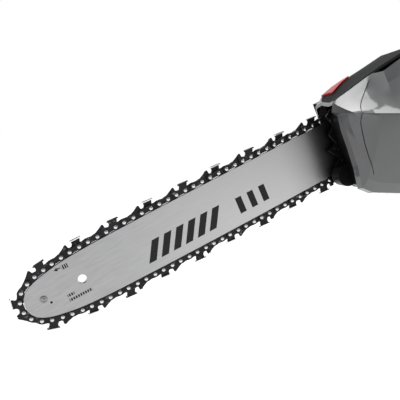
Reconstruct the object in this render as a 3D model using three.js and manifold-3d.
// Telescoping pole saw, in millimetres, +Z up.
// The saw head points along -X and the handle is at +X. -Y is the motor side, +Y the sprocket side.
// Everything is drawn from the drive axis, then moved so that the origin is under the object's middle.
import * as THREE from 'three';
import { mergeVertices } from 'three/addons/utils/BufferGeometryUtils.js';
import Module from 'manifold-3d';

const wasm = await Module();
wasm.setup();

// ---------------------------------------------------------------- driving sizes

// guide bar and chain, in the bar's own frame: X runs back along the bar, Y across it, Z up in its plane
const barPitch = THREE.MathUtils.degToRad(24.6);
const sprocketSpacing = 431.7;
const barHalfWidth = 28.1;
const barSideInner = 0.8;
const barSideOuter = 2.3;
const barCoreHalf = 0.7;
const barTailX = -30;
const grooveDepth = 8.5;
const railGap = 0.3;
const chainRivetRise = 3;
const chainLinkHalf = 2.6;
const chainLinkTop = 4.6;
const chainCutterTop = 8.6;
const chainCutterHalf = 3.5;
const chainTangHalf = 0.6;
const chainPitch = 9.53;
const driveRivetRadius = 18.2;
const noseRivetRadius = 21;
// cutters alternate sides every four links, so the loop closes after a multiple of eight
const chainLoop = 2 * sprocketSpacing + Math.PI * (driveRivetRadius + noseRivetRadius);
const chainLinkCount = 8 * Math.round(chainLoop / chainPitch / 8);
const driveTeeth = 6;
const noseTeeth = 7;
const sprocketRunGap = 0.9;
const noseRivetPin = 3.2;
const fitGap = 0.15;
const tensionTravel = 6;
const studRadius = 4;
const studX = [-80, -52];
const tensionX = -38;
const tensionZ = -14;
const tensionScrewY = -7.2;
const tensionScrewStart = -78;

// saw head
const headWall = 3;
const headParting = -12;
const caseFace = -4.5;
const creaseY = -64;
const creaseZ = -9.5;
const rimY = -38;
const frontBlockEnd = -57.5;
const shaftRadius = 4;
const motorRadius = 27;
const motorEnd = -46;
const bearingRadius = 11;
const coverHalfHeight = 45;
const coverWall = 3;
const coverOuter = 34;
const coverFront = -88;
const hoodWall = 3.5;
const hoodNear = -37.4;
const hoodFar = 17;
const oilCapX = 62;
const oilCapZ = -52;
const oilNeckRadius = 13;

// pole, on its own axis
const poleY = -14;
const poleZ = -30;
const headRear = 95;
const neckLength = 80;
const innerTubeRadius = 13;
const tubeWall = 1.5;
const bushWall = 1.1;
const slideGap = 0.15;
const innerTubeStart = 110;
const innerTubeEnd = 890;
const outerTubeStart = 225;
const collarEnd = 285;
const collarRadius = 22;
const leverWidth = 17;
const gripStart = 620;
const gripEnd = 900;
const gripRadius = 21;
const strapX = 965;
const strapRingRadius = 14;
const strapWire = 2;

// rear handle, in a frame whose origin is on the pole axis at the handle's front
const handleX = 1010;
const tubeInHandle = 95;
const outerTubeEnd = handleX + tubeInHandle;
const handleHalf = 19;
const handleWall = 3;
const shoeHalf = 37;
const shoeHeight = 18.5;
const batteryHalf = 38;
const batteryHeight = 68;
const railHalf = 14;
const railLip = 4;

// ---------------------------------------------------------------- materials

function finish(color, roughness, metalness = 0) {
  return new THREE.MeshStandardMaterial({ color, roughness, metalness });
}
const greyShell = finish(0xb9bbb8, 0.25);
const darkPlastic = finish(0x3b3d3f, 0.6);
const blackPlastic = finish(0x121314, 0.5);
const redPlastic = finish(0xc4161c, 0.35);
const barSteel = finish(0xb8b9ba, 0.3, 0.9);
const darkSteel = finish(0x232427, 0.4, 0.8);
const brightSteel = finish(0xc7c9cc, 0.25, 0.9);
const aluminium = finish(0x9b9da0, 0.35, 0.8);
const copper = finish(0x9a5a34, 0.4, 0.6);
const rubber = finish(0x1b1b1c, 0.85);
const tankPlastic = finish(0xd9d6c8, 0.45);
const circuitGreen = finish(0x1d4a2c, 0.5);

// ---------------------------------------------------------------- shape helpers

// Merges shared corners, drops faces with no area and turns the faces outwards.
function weld(geometry) {
  const bare = new THREE.BufferGeometry();
  bare.setAttribute('position', geometry.getAttribute('position'));
  bare.setIndex(geometry.getIndex());
  const merged = mergeVertices(bare, 1e-4);
  const position = merged.getAttribute('position');
  const corner = [new THREE.Vector3(), new THREE.Vector3(), new THREE.Vector3()];
  const index = merged.getIndex().array;
  const kept = [];
  let volume = 0;
  for (let i = 0; i < index.length; i += 3) {
    const [a, b, c] = index.slice(i, i + 3);
    if (a === b || b === c || c === a) continue;
    kept.push(a, b, c);
    [a, b, c].forEach((vertex, k) => corner[k].fromBufferAttribute(position, vertex));
    volume += corner[0].dot(corner[1].cross(corner[2]));
  }
  if (volume < 0) kept.reverse();
  merged.setIndex(kept);
  return merged;
}

function toSolid(geometry) {
  const welded = weld(geometry);
  const vertProperties = new Float32Array(welded.getAttribute('position').array);
  const triVerts = new Uint32Array(welded.getIndex().array);
  return new wasm.Manifold(new wasm.Mesh({ numProp: 3, vertProperties, triVerts }));
}

function fromSolid(body) {
  const mesh = body.getMesh();
  const geometry = new THREE.BufferGeometry();
  geometry.setAttribute('position', new THREE.BufferAttribute(mesh.vertProperties, 3));
  geometry.setIndex(new THREE.BufferAttribute(mesh.triVerts, 1));
  return geometry;
}

function cut(base, ...tools) {
  return fromSolid(tools.reduce((body, tool) => body.subtract(toSolid(tool)), toSolid(base)));
}

function join(base, ...others) {
  return fromSolid(others.reduce((body, other) => body.add(toSolid(other)), toSolid(base)));
}

function common(base, other) {
  return fromSolid(toSolid(base).intersect(toSolid(other)));
}

// A box given by its two limits on each axis.
function block([x0, x1], [y0, y1], [z0, z1]) {
  const geometry = new THREE.BoxGeometry(x1 - x0, y1 - y0, z1 - z0);
  return geometry.translate((x0 + x1) / 2, (y0 + y1) / 2, (z0 + z1) / 2);
}

// Turns a shape drawn along +Y so that it runs along another axis, then moves it.
// across gives the place on the two other axes, in X, Y, Z order.
function along(axis, geometry, across) {
  const [first, second] = across;
  if (axis === 'x') return geometry.rotateZ(-Math.PI / 2).translate(0, first, second);
  if (axis === 'z') return geometry.rotateX(Math.PI / 2).translate(first, second, 0);
  return geometry.translate(first, 0, second);
}

function rod(axis, radius, from, to, across = [0, 0], sides = 20) {
  const geometry = new THREE.CylinderGeometry(radius, radius, to - from, sides);
  return along(axis, geometry.translate(0, (from + to) / 2, 0), across);
}

// A turned piece. The profile is a list of [radius, place along the axis].
function turned(axis, profile, across = [0, 0], sides = 20) {
  const points = profile.map(([radius, place]) => new THREE.Vector2(radius, place));
  return along(axis, new THREE.LatheGeometry(points, sides), across);
}

function ring(axis, outer, inner, from, to, across = [0, 0], sides = 20) {
  const profile = [[inner, from], [outer, from], [outer, to], [inner, to], [inner, from]];
  return turned(axis, profile, across, sides);
}

// An X-Z outline with thickness along Y. A bevel rounds its edges inside the same limits.
function plate(outline, y0, y1, holes = [], bevel = 0) {
  const shape = new THREE.Shape(outline.map(([x, z]) => new THREE.Vector2(x, z)));
  shape.holes = holes.map((hole) => new THREE.Path(hole.map(([x, z]) => new THREE.Vector2(x, z))));
  const settings = {
    depth: y1 - y0 - 2 * bevel,
    bevelEnabled: bevel > 0,
    bevelThickness: bevel,
    bevelSize: bevel,
    bevelOffset: -bevel,
    bevelSegments: 2,
  };
  const geometry = new THREE.ExtrudeGeometry(shape, settings);
  return geometry.rotateX(Math.PI / 2).translate(0, y1 - bevel, 0);
}

// A solid through rings of equal point counts, closed at both ends by a fan.
function loft(rings) {
  const count = rings[0].length;
  const points = rings.flat();
  const index = [];
  for (let r = 0; r < rings.length - 1; r += 1) {
    for (let i = 0; i < count; i += 1) {
      const a = r * count + i;
      const b = r * count + (i + 1) % count;
      index.push(a, b, b + count, a, b + count, a + count);
    }
  }
  const last = (rings.length - 1) * count;
  const middle = (list) => [0, 1, 2].map((k) => list.reduce((sum, p) => sum + p[k], 0) / count);
  points.push(middle(rings[0]), middle(rings[rings.length - 1]));
  for (let i = 0; i < count; i += 1) {
    const next = (i + 1) % count;
    index.push(next, i, points.length - 2);
    index.push(last + i, last + next, points.length - 1);
  }
  return shapeFrom(points, index);
}

// A curved wall between two grids of points of the same size.
function wall(outer, inner) {
  const rows = outer.length;
  const columns = outer[0].length;
  const points = [...outer.flat(), ...inner.flat()];
  const other = rows * columns;
  const index = [];
  const quad = (a, b, c, d) => index.push(a, b, c, a, c, d);
  for (let r = 0; r < rows - 1; r += 1) {
    for (let c = 0; c < columns - 1; c += 1) {
      const a = r * columns + c;
      quad(a, a + 1, a + 1 + columns, a + columns);
      quad(other + a, other + a + columns, other + a + 1 + columns, other + a + 1);
    }
  }
  for (let c = 0; c < columns - 1; c += 1) {
    const end = (rows - 1) * columns + c;
    quad(c + 1, c, other + c, other + c + 1);
    quad(end, end + 1, other + end + 1, other + end);
  }
  for (let r = 0; r < rows - 1; r += 1) {
    const start = r * columns;
    const end = start + columns - 1;
    quad(start, start + columns, other + start + columns, other + start);
    quad(end + columns, end, other + end, other + end + columns);
  }
  return shapeFrom(points, index);
}

function shapeFrom(points, index) {
  const geometry = new THREE.BufferGeometry();
  geometry.setAttribute('position', new THREE.Float32BufferAttribute(points.flat(), 3));
  geometry.setIndex(index);
  return geometry;
}

// Moves each side of a closed outline outwards by distance, or inwards where it is negative.
function offset(outline, distance) {
  const count = outline.length;
  let area = 0;
  outline.forEach(([x, z], i) => {
    const [nextX, nextZ] = outline[(i + 1) % count];
    area += x * nextZ - nextX * z;
  });
  const side = Math.sign(area) * distance;
  return outline.map(([x, z], i) => {
    const [px, pz] = outline[(i + count - 1) % count];
    const [nx, nz] = outline[(i + 1) % count];
    const before = new THREE.Vector2(x - px, z - pz).normalize();
    const after = new THREE.Vector2(nx - x, nz - z).normalize();
    const normal = new THREE.Vector2(before.y + after.y, -before.x - after.x).normalize();
    const reach = side / Math.max(0.35, normal.x * after.y - normal.y * after.x);
    return [x + normal.x * reach, z + normal.y * reach];
  });
}

// A smooth closed outline through a few points.
function smooth(outline, count) {
  const points = outline.map(([x, z]) => new THREE.Vector3(x, 0, z));
  const curve = new THREE.CatmullRomCurve3(points, true, 'centripetal');
  return curve.getSpacedPoints(count).slice(0, count).map((point) => [point.x, point.z]);
}

function toothed(teeth, tip, root, centreX = 0) {
  const points = [];
  for (let tooth = 0; tooth < teeth; tooth += 1) {
    [[-0.32, root], [-0.16, tip], [0.16, tip], [0.32, root]].forEach(([place, radius]) => {
      const angle = ((tooth + place) / teeth) * 2 * Math.PI;
      points.push([centreX + radius * Math.cos(angle), radius * Math.sin(angle)]);
    });
  }
  return points;
}

function circle(radius, count, centreX = 0, centreZ = 0) {
  return Array.from({ length: count }, (_, i) => {
    const angle = (i / count) * 2 * Math.PI;
    return [centreX + radius * Math.cos(angle), centreZ + radius * Math.sin(angle)];
  });
}

// Draws in the head's frame what is laid out in the bar's frame.
function onBar(geometry) {
  return geometry.rotateY(-barPitch);
}

function add(parent, name, geometry, material) {
  const mesh = new THREE.Mesh(weld(geometry), material);
  mesh.name = name;
  parent.add(mesh);
}

// ---------------------------------------------------------------- guide bar and chain

const noseX = -sprocketSpacing;

// The rivets' path is widest in the middle of the bar. Each entry is a place and how far the path
// is from its full half height there; the ends are measured from the drive axis and the nose axis.
const riseFromDrive = [
  [-36.69, -1.9],
  [-60.44, -0.9],
  [-112.24, -0.5],
];
const riseFromNose = [
  [103.61, -0.9],
  [43.17, -2.6],
  [19.43, -5],
];

// The rivets' closed path: up round the drive sprocket, along the top, round the nose and back.
function rivetPath() {
  const rivetHalf = barHalfWidth + chainRivetRise;
  const top = [
    ...riseFromDrive.map(([x, rise]) => [x, rivetHalf + rise]),
    [noseX / 2, rivetHalf],
    ...riseFromNose.map(([x, rise]) => [noseX + x, rivetHalf + rise]),
  ];
  const drive = [-75, -25, 25, 75].map((angle) => {
    const turn = THREE.MathUtils.degToRad(angle);
    return [driveRivetRadius * Math.cos(turn), driveRivetRadius * Math.sin(turn)];
  });
  const nose = [105, 142, 180, 218, 255].map((angle) => {
    const turn = THREE.MathUtils.degToRad(angle);
    return [noseX + noseRivetRadius * Math.cos(turn), noseRivetRadius * Math.sin(turn)];
  });
  const bottom = top.map(([x, z]) => [x, -z]).reverse();
  return smooth([...drive, ...top, ...nose, ...bottom], chainLinkCount);
}
const rivets = rivetPath();

// The outline of the bar's plates, a set distance inside the rivets' path.
function railOutline(depth) {
  const inside = offset(rivets, -depth).filter(([x], i) => x < barTailX - 12 && i % 2 === 0);
  const top = inside.filter(([, z]) => z > 0).sort((a, b) => b[0] - a[0]);
  const bottom = inside.filter(([, z]) => z <= 0).sort((a, b) => a[0] - b[0]);
  const tailHalf = top[0][1] - 6;
  return [[barTailX, tailHalf], ...top, ...bottom, [barTailX, -tailHalf]];
}

function barPlate(depth, y0, y1) {
  const slot = [studX[0] - 2 * tensionTravel, studX[1] + 2 * tensionTravel];
  return cut(
    plate(railOutline(depth), y0, y1),
    block(slot, [y0 - 1, y1 + 1], [-studRadius - 0.4, studRadius + 0.4]),
    rod('y', 4.25, y0 - 1, y1 + 1, [noseX + 39.1, 0]),
    rod('y', noseRivetPin + fitGap, y0 - 1, y1 + 1, [noseX, 0], 16),
    rod('y', 3 + fitGap, y0 - 1, y1 + 1, [tensionX, tensionZ], 16),
  );
}

// One piece for the whole chain: the links as a band, the drive tangs in the groove, and the
// ramps and cutters that stand up from it.
function chain() {
  const outer = offset(rivets, chainLinkTop);
  const inner = offset(rivets, -chainRivetRise);
  const shapes = [];
  const low = offset(rivets, -chainRivetRise - 5);
  const high = offset(rivets, -1);
  const straight = [...rivets.keys()].filter((i) => {
    return rivets[i][0] < barTailX - 28 && rivets[i][0] > noseX + 24;
  });
  [1, -1].forEach((side) => {
    const picked = straight.filter((i) => Math.sign(rivets[i][1]) === side);
    const band = [...picked.map((i) => high[i]), ...picked.map((i) => low[i]).reverse()];
    shapes.push(plate(band, -chainTangHalf, chainTangHalf));
  });
  const onLink = (link, geometry) => {
    const [x0, z0] = rivets[link % chainLinkCount];
    const [x1, z1] = rivets[(link + 1) % chainLinkCount];
    const angle = Math.atan2(z1 - z0, x1 - x0);
    return geometry.rotateY(-angle).translate((x0 + x1) / 2, 0, (z0 + z1) / 2);
  };
  const ramp = [[5, -2], [5, -6.5], [2, -7.6], [-6, -2]];
  const cutter = [[4, -2], [4, -chainCutterTop], [-5, -chainCutterTop + 0.6], [-5, -2]];
  for (let link = 1; link < chainLinkCount; link += 4) {
    const side = link % 8 === 1;
    const across = side ? [0.9, chainCutterHalf] : [-chainCutterHalf, -0.9];
    shapes.push(onLink(link, plate(ramp, -0.7, 0.7)));
    shapes.push(onLink(link - 1, plate(cutter, ...across)));
  }
  return join(plate(outer, -chainLinkHalf, chainLinkHalf, [inner]), ...shapes);
}

function tensionPin() {
  const half = 5;
  const head = block([tensionX - half, tensionX + half], [-9.2, -5.2], [tensionZ - half, tensionZ + half]);
  return cut(
    join(head, rod('y', 3, -6, barSideOuter, [tensionX, tensionZ], 16)),
    rod('x', 2.7, tensionX - 10, tensionX + 10, [tensionScrewY, tensionZ], 12),
  );
}

function bar() {
  const group = new THREE.Group();
  group.rotation.y = -barPitch;
  const plateDepth = chainRivetRise + railGap;
  const noseWindow = rod('y', noseRivetRadius - chainRivetRise + 0.4, -2, 2, [noseX, 0], 24);
  add(group, 'bar_side_left', barPlate(plateDepth, -barSideOuter, -barSideInner), barSteel);
  const core = cut(barPlate(plateDepth + grooveDepth, -barCoreHalf, barCoreHalf), noseWindow);
  add(group, 'bar_core', core, barSteel);
  add(group, 'bar_side_right', barPlate(plateDepth, barSideInner, barSideOuter), barSteel);
  const rivetHead = noseRivetPin + 0.5;
  const rivetProfile = [
    [0, -barSideOuter - 0.7],
    [rivetHead, -barSideOuter - 0.5],
    [rivetHead, -barSideOuter - fitGap],
    [noseRivetPin, -barSideOuter - fitGap],
    [noseRivetPin, barSideOuter + fitGap],
    [rivetHead, barSideOuter + fitGap],
    [rivetHead, barSideOuter + 0.5],
    [0, barSideOuter + 0.7],
  ];
  add(group, 'nose_rivet', turned('y', rivetProfile, [noseX, 0], 16), brightSteel);
  const noseTip = noseRivetRadius - chainRivetRise - sprocketRunGap;
  const noseWheel = plate(toothed(noseTeeth, noseTip, noseTip - 4, noseX), -0.6, 0.6,
    [circle(noseRivetPin + 0.2, 16, noseX)]);
  add(group, 'nose_sprocket', noseWheel, darkSteel);
  add(group, 'saw_chain', chain(), darkSteel);
  add(group, 'tension_pin', tensionPin(), darkSteel);
  const screw = join(
    rod('x', 2.4, tensionScrewStart, tensionX + 12, [tensionScrewY, tensionZ], 12),
    rod('x', 2.8, tensionScrewStart, tensionScrewStart + 4, [tensionScrewY, tensionZ], 12),
  );
  add(group, 'tension_screw', screw, brightSteel);
  add(group, 'sprocket_cover', sprocketCover(), blackPlastic);
  studX.forEach((x, i) => {
    const place = ['front', 'rear'][i];
    const stud = rod('y', studRadius, headParting + 0.5, coverOuter + 6, [x, 0]);
    add(group, `bar_stud_${place}`, stud, brightSteel);
    const nut = cut(
      rod('y', 8, coverOuter + 0.3, coverOuter + 6.5, [x, 0], 6),
      rod('y', studRadius + fitGap, coverOuter, coverOuter + 8, [x, 0]),
    );
    add(group, `bar_nut_${place}`, nut, brightSteel);
  });
  const catcher = offset([[-94, -46.5], [-80, -46.5], [-80, -50], [-91, -53]], 0.4);
  add(group, 'chain_catcher', plate(catcher, caseFace + 0.3, 7), blackPlastic);
  return group;
}

// The toothed plate at the front of the head: four points, with a rounded lobe under them.
const spikeY = [-11, -8];
const spikeRear = -82;
const spikeOutline = [
  [spikeRear, -2],
  [-100, -2],
  [-107.5, -11.5],
  [-98.5, -20],
  [-103.5, -30],
  [-95, -38.5],
  [-103, -46.5],
  [-89.5, -54.5],
  [-94.5, -62],
  [spikeRear, -62],
];

// The far-side cover over the drive sprocket. Its two posts clamp the bar round the studs.
function sprocketCover() {
  const rear = [-80, -60, -40, -20, 0, 20, 40, 60, 80].map((angle) => {
    const turn = THREE.MathUtils.degToRad(angle);
    return [coverHalfHeight * Math.cos(turn), coverHalfHeight * Math.sin(turn)];
  });
  const outline = [[coverFront, -coverHalfHeight + 1], ...rear, [coverFront, coverHalfHeight - 1]];
  const inside = offset(outline, -coverWall);
  const half = coverHalfHeight - coverWall - 1.5;
  const hollow = cut(
    plate(outline, caseFace + 0.4, coverOuter, [], 1.2),
    plate(inside, caseFace - 2, coverOuter - coverWall),
    block([coverFront - 5, coverFront + coverWall + 3], [caseFace - 2, 9], [-half, half]),
  );
  const posts = studX.map((x) => rod('y', studRadius + 4, barSideOuter + 0.3, coverOuter - 1, [x, 0]));
  const holes = studX.map((x) => rod('y', studRadius + 0.4, 0, coverOuter + 2, [x, 0]));
  return cut(join(hollow, ...posts), ...holes);
}

// ---------------------------------------------------------------- saw head

const headOutline = [
  [-117, 1.8],
  [-117.5, -8],
  [-111, -11],
  [-107, -25],
  [-99, -43],
  [-91.5, -62],
  [-85, -84],
  [-72, -89],
  [-20, -92],
  [45, -84],
  [headRear, -62],
  [headRear, -2],
  [60, 42.5],
  [10, 56],
  [-35, 50.5],
  [-60, 33.5],
  [-74, 30.5],
  [-86, 22.7],
  [-99, 13.8],
  [-107, 8.6],
];

// The side of the head as rings along Y: its upper face leans in to a level crease, its lower
// face bulges out to the same crease.
function headRings(outline, yStart, inset) {
  const rings = [outline.map(([x, z]) => [x, yStart, z])];
  [0, 0.28, 0.54, 0.77, 0.92, 1].forEach((share) => {
    const y = rimY + (creaseY + inset - rimY) * share;
    rings.push(outline.map(([x, z]) => {
      const upper = z > creaseZ;
      const pull = upper ? share * 0.985 : share ** 3 * 0.97;
      const squeeze = 1 - 0.08 * share ** 2;
      return [x * squeeze, y, z + (creaseZ - z) * pull];
    }));
  });
  return rings;
}

function headShellLeft() {
  const outer = loft(headRings(headOutline, headParting - 0.3, 0));
  const inner = loft(headRings(offset(headOutline, -headWall), headParting + 1, headWall));
  const frontBlock = block([-140, frontBlockEnd + 0.3], [rimY + 0.2, 0], [-120, 100]);
  const vents = [0, 1, 2, 3, 4].map((i) => {
    const x = -20 + i * 9;
    return block([x, x + 4], [-80, -40], [-58, -34]);
  });
  const neckHole = rod('x', 8, headRear - 8, headRear + 8, [poleY - 3.5, poleZ]);
  const oilHole = rod('y', oilNeckRadius + 0.4, -80, -45, [oilCapX, oilCapZ]);
  return cut(outer, inner, frontBlock, neckHole, oilHole, ...vents);
}

const lobeRadius = 12;
const lobeCentre = [-84.5, -71];

// The black casting: a block at the front whose face slopes back towards the bar, a plate that
// carries the motor, and a pad that the bar is clamped against.
function gearCase() {
  const blockOutline = [
    [-109, -4],
    [-109, -11],
    [-105, -25],
    [-97, -43],
    [-89.5, -62],
    [-83, -81],
    [-72, -85.5],
    [frontBlockEnd, -86],
    [frontBlockEnd, 33],
    [-64, 29],
    [-80, 19],
    [-93, 9],
    [-103, 0],
  ];
  const slope = 9;
  const near = blockOutline.map(([x, z]) => [x, rimY + 0.5, z]);
  const far = blockOutline.map(([x, z]) => [Math.min(frontBlockEnd, x + slope), caseFace, z > 0 ? z - 6 : z]);
  const frontBlock = loft([near, far]);
  const frameOutline = headOutline.filter(([x]) => x > frontBlockEnd - 10);
  const frame = plate(offset(frameOutline, -1.4), headParting, caseFace);
  const lobe = rod('y', lobeRadius, -20, caseFace - 2.5, lobeCentre, 28);
  const boss = rod('y', bearingRadius + 4, headParting - 8, headParting + 1);
  const pad = onBar(block([coverFront + 2, barTailX - 4], [caseFace - 1, -barSideOuter - 0.3], [-17, 17]));
  const pocket = [tensionX - 5 - tensionTravel, tensionX + 6 + tensionTravel];
  const grown = offset(spikeOutline, 0.3);
  return cut(
    join(frontBlock, lobe, frame, boss, pad),
    rod('y', bearingRadius + fitGap, headParting - 9, headParting - 0.6),
    rod('y', shaftRadius + 3, headParting - 2, 0),
    plate(grown, spikeY[0] - 0.3, spikeY[1] + 0.3),
    ...studX.map((x) => onBar(rod('y', studRadius + fitGap, headParting + 0.3, 0, [x, 0]))),
    onBar(block(pocket, [-9.6, 0], [tensionZ - 5.4, tensionZ + 5.4])),
    onBar(rod('x', 3.1, tensionScrewStart - 1, tensionX + 13, [tensionScrewY, tensionZ], 12)),
  );
}

// The hood over the chain's top run, open at the front. Each station is a place along X, the height
// of the ridge, and the height of the near and far edges.
const hoodStations = [
  [-106, 4.5, 9.5, -10.5],
  [-99, 11.5, 14.6, 6],
  [-86, 22.5, 23.5, 14],
  [-74, 30.5, 31.6, 20.5],
  [-64, 37, 38.5, 26],
  [-35, 55, 55, 41],
  [10, 70, 60.6, 51],
  [40, 64, 53, 50],
];
// across the hood: Y, and the share of the height between edge and ridge
const hoodSection = [
  [hoodNear, 0],
  [hoodNear + 4, 0.2],
  [-24, 0.7],
  [-8, 1],
  [2, 0.96],
  [hoodFar - 3, 0.68],
  [hoodFar, 0],
];
const hoodRidgeY = 2;
const hoodLean = 10;
const hoodRise = 0.67;

// Moves a row of points square to the row, down and in by a distance, or up and out if negative.
// The near edge moves straight down, because the side of the head stands close beside it.
function sectionInward(row, distance) {
  return row.map(([x, y, z], i) => {
    const before = row[Math.max(i - 1, 0)];
    const after = row[Math.min(i + 1, row.length - 1)];
    const length = Math.hypot(after[1] - before[1], after[2] - before[2]);
    if (i === 0) return [x, y, z - distance];
    const toY = (after[2] - before[2]) / length;
    const toZ = -(after[1] - before[1]) / length;
    return [x, y + toY * distance, z + toZ * distance];
  });
}

function hoodGrid(inward) {
  return hoodStations.map(([x, ridge, near, far], station) => {
    const row = hoodSection.map(([y, share]) => {
      const edge = y < hoodRidgeY - 1 ? near : far;
      const height = edge + (ridge - edge) * share;
      if (station > 0) return [x, y, height];
      const lean = hoodLean * Math.max(0, (hoodRidgeY - y) / (hoodRidgeY - hoodNear));
      const tail = y === hoodFar ? 4 : 0;
      return [x - lean + tail, y, height - lean * hoodRise];
    });
    return sectionInward(row, inward);
  });
}

// A strip along the hood's far shoulder that narrows towards the rear.
function redAccent() {
  const taper = [0.1, 0.55, 0.95];
  const strip = (lift) => hoodGrid(-lift).slice(1, 4).map((row, i) => {
    const [from, to, edge] = row.slice(3, 6);
    const start = from.map((value, axis) => value + (to[axis] - value) * taper[i]);
    return [start, to, edge];
  });
  return wall(strip(2.2), strip(0.4));
}

function headShellRight() {
  const outline = [[30, -84], [headRear, -62], [headRear, -2], [58, 42.5], [30, 48]];
  return cut(
    plate(outline, caseFace + 0.3, 16, [], 1.2),
    plate(offset(outline, -headWall), caseFace - 1, 16 - headWall),
    rod('y', coverHalfHeight + 1.5, -20, 40, [0, 0], 32),
  );
}

function motorCan() {
  const hub = 8 + 2.2;
  const outer = motorRadius;
  return turned('y', [
    [outer, headParting - 0.3],
    [outer - 2, headParting - 0.3],
    [outer - 2, motorEnd + 6],
    [outer - 5, motorEnd + 2],
    [hub, motorEnd + 2],
    [hub, motorEnd + 7],
    [8 + fitGap, motorEnd + 7],
    [8 + fitGap, motorEnd + 1.5],
    [shaftRadius + 1, motorEnd + 1.5],
    [shaftRadius + 1, motorEnd],
    [outer - 4, motorEnd],
    [outer, motorEnd + 5],
    [outer, headParting - 0.3],
  ]);
}

function oilTank() {
  const outline = [[-48, -76], [-18, -82], [40, -74], [84, -56], [84, -36], [-48, -36]];
  const neck = rod('y', oilNeckRadius, -62, -44, [oilCapX, oilCapZ]);
  return cut(
    join(plate(outline, -46, headParting - 3), neck),
    plate(offset(outline, -2), -44, headParting - 5),
    rod('y', oilNeckRadius - 3, -63, -43, [oilCapX, oilCapZ]),
  );
}

function oilCap() {
  const across = [oilCapX, oilCapZ];
  return join(
    rod('y', oilNeckRadius + 3, -67, -62.3, across, 12),
    rod('y', oilNeckRadius - 3.4, -62.5, -52, across, 16),
    block([oilCapX - 12, oilCapX + 12], [-72, -66], [oilCapZ - 3, oilCapZ + 3]),
  );
}

function head() {
  const group = new THREE.Group();
  add(group, 'head_shell_left', headShellLeft(), greyShell);
  add(group, 'head_shell_right', headShellRight(), blackPlastic);
  add(group, 'gear_case', gearCase(), blackPlastic);
  add(group, 'bumper_spike', plate(spikeOutline, ...spikeY), darkSteel);
  add(group, 'top_hood', wall(hoodGrid(0), hoodGrid(hoodWall)), darkPlastic);
  add(group, 'red_accent', redAccent(), redPlastic);
  const bearing = ring('y', bearingRadius, shaftRadius + fitGap, headParting - 7.8, headParting - 0.8);
  add(group, 'motor_bearing_front', bearing, brightSteel);
  const rearBearing = ring('y', 8, shaftRadius + fitGap, motorEnd + 1.8, motorEnd + 6.8);
  add(group, 'motor_bearing_rear', rearBearing, brightSteel);
  add(group, 'motor_can', motorCan(), aluminium);
  const rotorRadius = 15;
  const stator = ring('y', motorRadius - 2.3, rotorRadius + 0.7, motorEnd + 8, headParting - 9);
  add(group, 'motor_stator', stator, copper);
  const rotor = ring('y', rotorRadius, shaftRadius + fitGap, motorEnd + 9, headParting - 10);
  add(group, 'motor_rotor', rotor, darkSteel);
  add(group, 'motor_shaft', rod('y', shaftRadius, motorEnd + 2.2, 9), brightSteel);
  const driveTip = driveRivetRadius - chainRivetRise - sprocketRunGap;
  const sprocket = cut(
    join(plate(toothed(driveTeeth, driveTip, driveTip - 4), -3, 3), rod('y', 8, 2, 6)),
    rod('y', shaftRadius + fitGap, -5, 8),
  );
  add(group, 'drive_sprocket', onBar(sprocket), darkSteel);
  add(group, 'sprocket_clip', ring('y', 6.5, shaftRadius + fitGap, 6.3, 7.5), brightSteel);
  add(group, 'oil_tank', oilTank(), tankPlastic);
  add(group, 'oil_cap', oilCap(), redPlastic);
  const pump = join(
    block([24, 44], [-26, headParting - 0.3], [-33, -21]),
    rod('x', 3, 40, 56, [-19, -27], 12),
  );
  add(group, 'oil_pump', pump, aluminium);
  return group;
}

// ---------------------------------------------------------------- pole

const bushBore = innerTubeRadius + slideGap;
const outerTubeBore = bushBore + bushWall + slideGap;
const outerTubeRadius = outerTubeBore + tubeWall;

// Joins the head to the pole: a flange on the head's rear, and a socket that grips the inner tube.
function poleNeck() {
  const start = headRear + 0.3;
  const radius = innerTubeRadius + 5;
  return cut(
    join(
      block([start, start + 6], [-26, 27], [-27, 27]),
      turned('x', [[0, start], [radius + 5, start], [radius, start + 22], [radius, start + neckLength - 3],
        [radius - 2, start + neckLength], [0, start + neckLength]]),
    ),
    rod('x', innerTubeRadius - 3, start - 2, start + 40),
    rod('x', innerTubeRadius + fitGap, innerTubeStart - 0.3, start + 100),
    ...neckScrewPlaces.map((across) => rod('x', 2.2, start - 2, start + 10, across, 12)),
  );
}
const neckScrewPlaces = [[-21, 21], [21, -21]];

function clampCollar() {
  const lip = outerTubeStart - 13;
  const profile = [
    [innerTubeRadius + 0.3, lip],
    [collarRadius - 4, lip],
    [collarRadius, lip + 5],
    [collarRadius, collarEnd - 3],
    [collarRadius - 2, collarEnd],
    [outerTubeRadius + fitGap, collarEnd],
    [outerTubeRadius + fitGap, outerTubeStart - 0.3],
    [innerTubeRadius + 0.3, outerTubeStart - 0.3],
    [innerTubeRadius + 0.3, lip],
  ];
  const middle = (outerTubeStart + collarEnd) / 2;
  const ears = [-1, 1].map((side) => {
    const inner = middle + side * (leverWidth / 2 + 0.6);
    const limits = [Math.min(inner, inner + side * 5), Math.max(inner, inner + side * 5)];
    return block(limits, [collarRadius - 3, collarRadius + 11], [1.2, 10]);
  });
  return cut(
    join(turned('x', profile), ...ears),
    block([lip - 5, collarEnd + 5], [0, collarRadius + 20], [-1, 1]),
    rod('x', 2.15, middle - 30, middle + 30, leverPin, 12),
  );
}
const leverPin = [collarRadius + 5.5, 5.5];

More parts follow.
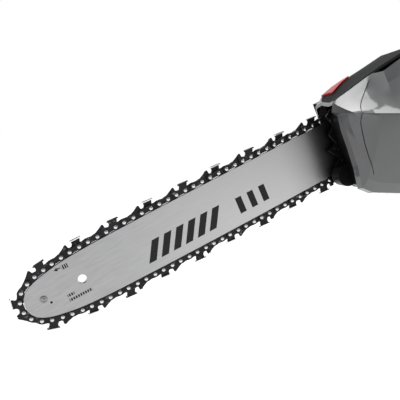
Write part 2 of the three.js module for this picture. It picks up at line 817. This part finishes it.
// The flip lever: a curved arm over the collar, on a hub between the collar's ears.
function lockLever() {
  const middle = (outerTubeStart + collarEnd) / 2;
  const limits = [middle - leverWidth / 2, middle + leverWidth / 2];
  const inner = collarRadius + 1;
  const row = (radius) => limits.map((x) => {
    return Array.from({ length: 9 }, (_, i) => {
      const turn = THREE.MathUtils.degToRad(16 + i * 17);
      const flare = i === 8 ? 3 : 0;
      return [x, (radius + flare) * Math.cos(turn), (radius + flare) * Math.sin(turn)];
    });
  });
  return cut(
    join(wall(row(inner + 4.5), row(inner)), rod('x', 4.6, ...limits, leverPin, 16)),
    rod('x', 2.15, middle - 30, middle + 30, leverPin, 12),
  );
}

function foamGrip() {
  const bore = outerTubeRadius + 0.3;
  return turned('x', [
    [bore, gripStart],
    [gripRadius - 3, gripStart],
    [gripRadius - 0.8, gripStart + 1.4],
    [gripRadius, gripStart + 4],
    [gripRadius, gripEnd - 4],
    [gripRadius - 0.8, gripEnd - 1.4],
    [gripRadius - 3, gripEnd],
    [bore, gripEnd],
    [bore, gripStart],
  ]);
}

const strapRodZ = -outerTubeRadius - 9;

function strapClamp() {
  const start = strapX - 9;
  return cut(
    join(
      ring('x', outerTubeRadius + 4, outerTubeRadius + fitGap, start, start + 18),
      block([start, start + 18], [-4.5, 4.5], [strapRodZ - 4.5, -outerTubeRadius - 1]),
    ),
    rod('x', strapWire + 0.5, start - 1, start + 19, [0, strapRodZ], 12),
  );
}

// A D-shaped ring: half a torus below, closed by a straight rod through the clamp's lug.
function strapRing() {
  const round = new THREE.TorusGeometry(strapRingRadius, strapWire, 8, 24);
  round.rotateX(Math.PI / 2).translate(strapX, 0, strapRodZ);
  const reach = strapRingRadius + strapWire + 5;
  const lower = block([strapX - reach, strapX + reach], [-5, 5], [strapRodZ - reach, strapRodZ]);
  const halfSpan = strapRingRadius + 1;
  const straight = rod('x', strapWire, strapX - halfSpan, strapX + halfSpan, [0, strapRodZ], 12);
  return join(common(round, lower), straight);
}

function pole() {
  const group = new THREE.Group();
  group.position.set(0, poleY, poleZ);
  add(group, 'pole_neck', poleNeck(), aluminium);
  neckScrewPlaces.forEach((across, i) => {
    const face = headRear + 6.6;
    const screw = join(
      rod('x', 4, face, face + 3, across, 12),
      rod('x', 1.9, headRear + 1, face + 1, across, 12),
    );
    add(group, `neck_screw_${i + 1}`, screw, brightSteel);
  });
  const innerBore = innerTubeRadius - tubeWall;
  add(group, 'inner_tube', ring('x', innerTubeRadius, innerBore, innerTubeStart, innerTubeEnd), aluminium);
  const bush = ring('x', bushBore + bushWall, bushBore, innerTubeEnd - 24, innerTubeEnd);
  add(group, 'slide_bush', bush, blackPlastic);
  const outerTube = ring('x', outerTubeRadius, outerTubeBore, outerTubeStart, outerTubeEnd);
  add(group, 'outer_tube', outerTube, blackPlastic);
  add(group, 'clamp_collar', clampCollar(), blackPlastic);
  add(group, 'lock_lever', lockLever(), redPlastic);
  const middle = (outerTubeStart + collarEnd) / 2;
  const pinHalf = leverWidth / 2 + 5.4;
  const pin = rod('x', 2, middle - pinHalf, middle + pinHalf, leverPin, 12);
  add(group, 'lever_pin', pin, brightSteel);
  add(group, 'foam_grip', foamGrip(), rubber);
  add(group, 'strap_clamp', strapClamp(), blackPlastic);
  add(group, 'strap_ring', strapRing(), brightSteel);
  return group;
}

// ---------------------------------------------------------------- rear handle

const handleTop = [[0, 21], [60, 22.5], [120, 23], [200, 8], [280, -22], [350, -52], [390, -72]];
const footZ = -91.5;
const handleOutline = [
  ...handleTop,
  [397, -82],
  [396, footZ],
  [247, footZ],
  [165, -89.5],
  [112, -76],
  [85, -50],
  [55, -27],
  [0, -21],
];
const fingerLoop = smooth([
  [112, -26],
  [140, -21],
  [190, -28],
  [235, -47],
  [250, -64],
  [238, -76],
  [170, -75],
  [120, -61],
  [103, -42],
], 22);
const handleScrews = [[88, -34], [268, -58], [380, -80]];
const triggerPivot = [122, -6];
const buttonPlace = [150, 0];

// Both halves of the handle as one hollow body, before it is parted down the middle.
function handleBody() {
  const inside = handleHalf - handleWall;
  const cavityStart = outerTubeEnd - handleX + 4;
  const hollow = cut(
    plate(offset(handleOutline, -handleWall), -inside, inside),
    plate(offset(fingerLoop, handleWall), -30, 30),
    block([-50, cavityStart], [-30, 30], [-150, 80]),
    ...handleScrews.map((across) => rod('y', 5, -30, 30, across, 12)),
  );
  return cut(
    plate(handleOutline, -handleHalf, handleHalf, [], 3),
    plate(fingerLoop, -30, 30),
    hollow,
    rod('x', outerTubeRadius + fitGap, -20, outerTubeEnd - handleX + 1),
    rod('x', 8, -20, cavityStart + 5, [0, 0], 16),
    block([122, 157], [-6.6, 6.6], [-40, -14]),
    ...handleScrews.map((across) => rod('y', 2.1, -14, 40, across, 12)),
    ...handleScrews.map((across) => rod('y', 3.9, -40, -handleHalf + 2.6, across, 12)),
    ...handleScrews.map((across) => rod('y', 2.1, -handleHalf, 14, across, 12)),
    rod('y', 6.2, -40, -handleHalf + handleWall + 1, buttonPlace, 20),
  );
}

function trigger() {
  const [x, z] = triggerPivot;
  const outline = [
    [x - 5, z + 5],
    [x + 5, z + 5],
    [x + 26, z - 8],
    [x + 27, z - 20],
    [x + 22, z - 36],
    [x + 13, z - 44],
    [x + 9, z - 38],
    [x + 8, z - 26],
    [x + 2, z - 10],
    [x - 5, z - 5],
  ];
  return cut(plate(outline, -6, 6, [], 1.5), rod('y', 2.2, -10, 10, triggerPivot, 12));
}

// The top of the handle's grip, with a soft cover over it.
function gripOvermould() {
  const stations = handleTop.filter(([x]) => x >= 120 && x <= 280);
  const half = handleHalf - 6;
  const row = (lift) => stations.map(([x, z]) => {
    return [-half, 0, half].map((y) => [x + lift * 0.3, y, z + lift]);
  });
  return wall(row(3), row(0.4));
}

function batteryShoe(start, end) {
  const top = footZ - 0.3;
  const bottom = top - shoeHeight;
  const neck = railHalf + 0.4;
  const slotStart = start + 13;
  return cut(
    block([start, end], [-shoeHalf, shoeHalf], [bottom, top]),
    block([slotStart, end + 5], [-neck, neck], [bottom - 1, bottom + 6]),
    block([slotStart, end + 5], [-neck - railLip, neck + railLip], [bottom + 5, bottom + 10]),
  );
}

function batteryPack(start, end, top) {
  const side = plate(
    [[start, top], [end, top], [end, top - batteryHeight], [start, top - batteryHeight]],
    -batteryHalf, batteryHalf, [], 3,
  );
  const railStart = start + 18;
  const middle = top - 19;
  return cut(
    join(
      side,
      block([railStart, end - 3], [-railHalf, railHalf], [top - 2, top + 6]),
      block([railStart, end - 3], [-railHalf - railLip, railHalf + railLip], [top + 5.8, top + 9]),
    ),
    block([end - 12, end + 3], [-13, 13], [middle - 7, middle + 7]),
  );
}

function handle() {
  const group = new THREE.Group();
  group.position.set(handleX, poleY, poleZ);
  const body = handleBody();
  const partingGap = 0.05;
  add(group, 'handle_left', common(body, block([-50, 500], [-60, -partingGap], [-200, 100])), blackPlastic);
  add(group, 'handle_right', common(body, block([-50, 500], [partingGap, 60], [-200, 100])), blackPlastic);
  handleScrews.forEach((across, i) => {
    const headFace = -handleHalf + 2.3;
    const screw = join(
      rod('y', 3.6, headFace - 2, headFace, across, 12),
      rod('y', 1.9, headFace - 1, 13, across, 12),
    );
    add(group, `handle_screw_${i + 1}`, screw, brightSteel);
  });
  add(group, 'grip_overmould', gripOvermould(), rubber);
  add(group, 'trigger', trigger(), redPlastic);
  const inside = handleHalf - handleWall;
  add(group, 'trigger_pin', rod('y', 2, -inside + 0.3, inside - 0.3, triggerPivot, 12), brightSteel);
  const button = join(
    rod('y', 6, -handleHalf - 3, -inside + 0.5, buttonPlace, 20),
    rod('y', 7.5, -inside + 0.3, -inside + 1.8, buttonPlace, 20),
  );
  add(group, 'lock_off_button', button, redPlastic);
  add(group, 'trigger_switch', block([160, 188], [-8, 8], [-16, 2]), blackPlastic);
  add(group, 'controller_board', block([290, 362], [-13, 13], [-84, -82.4]), circuitGreen);
  const shoeStart = 250;
  const shoeEnd = 397;
  add(group, 'battery_shoe', batteryShoe(shoeStart, shoeEnd), blackPlastic);
  const shoeBottom = footZ - 0.3 - shoeHeight;
  const terminalX = [shoeStart + 13.3, shoeStart + 27];
  const terminal = block(terminalX, [-railHalf, railHalf], [shoeBottom + 1, shoeBottom + 9]);
  add(group, 'terminal_block', terminal, copper);
  const batteryStart = shoeStart + 12;
  const batteryEnd = shoeEnd - 3;
  const batteryTop = shoeBottom - 0.4;
  add(group, 'battery_pack', batteryPack(batteryStart, batteryEnd, batteryTop), darkPlastic);
  const latchZ = batteryTop - 19;
  const latch = block([batteryEnd - 8, batteryEnd + 4], [-12.6, 12.6], [latchZ - 6.6, latchZ + 6.6]);
  add(group, 'battery_latch', latch, redPlastic);
  return group;
}

// The lead from the motor to the switch, inside the head, both tubes and the handle.
function powerLead() {
  const y = poleY - 3.5;
  const route = [
    [29, y, -8],
    [45, y, -11],
    [70, y, -26],
    [100, y, poleZ],
    [300, y, poleZ],
    [700, y, poleZ],
    [outerTubeEnd - 5, y, poleZ],
    [outerTubeEnd + 13, y, poleZ + 3.2],
    [outerTubeEnd + 28, y, poleZ + 3.8],
    [handleX + 142, y, poleZ + 1],
    [handleX + 159, y, poleZ - 2],
  ];
  const places = route.map((point) => new THREE.Vector3(...point));
  const curve = new THREE.CatmullRomCurve3(places, false, 'centripetal');
  const section = new THREE.Shape(circle(3.2, 8).map(([a, b]) => new THREE.Vector2(a, b)));
  return new THREE.ExtrudeGeometry(section, { steps: 40, extrudePath: curve, bevelEnabled: false });
}

// ---------------------------------------------------------------- the whole object

const centred = new THREE.Group();
centred.add(head(), bar(), pole(), handle());
add(centred, 'power_lead', powerLead(), rubber);

const limits = new THREE.Box3().setFromObject(centred, true);
const middlePoint = limits.getCenter(new THREE.Vector3());
centred.position.set(-middlePoint.x, -middlePoint.y, -limits.min.z);

const group = new THREE.Group();
group.add(centred);

export default group;
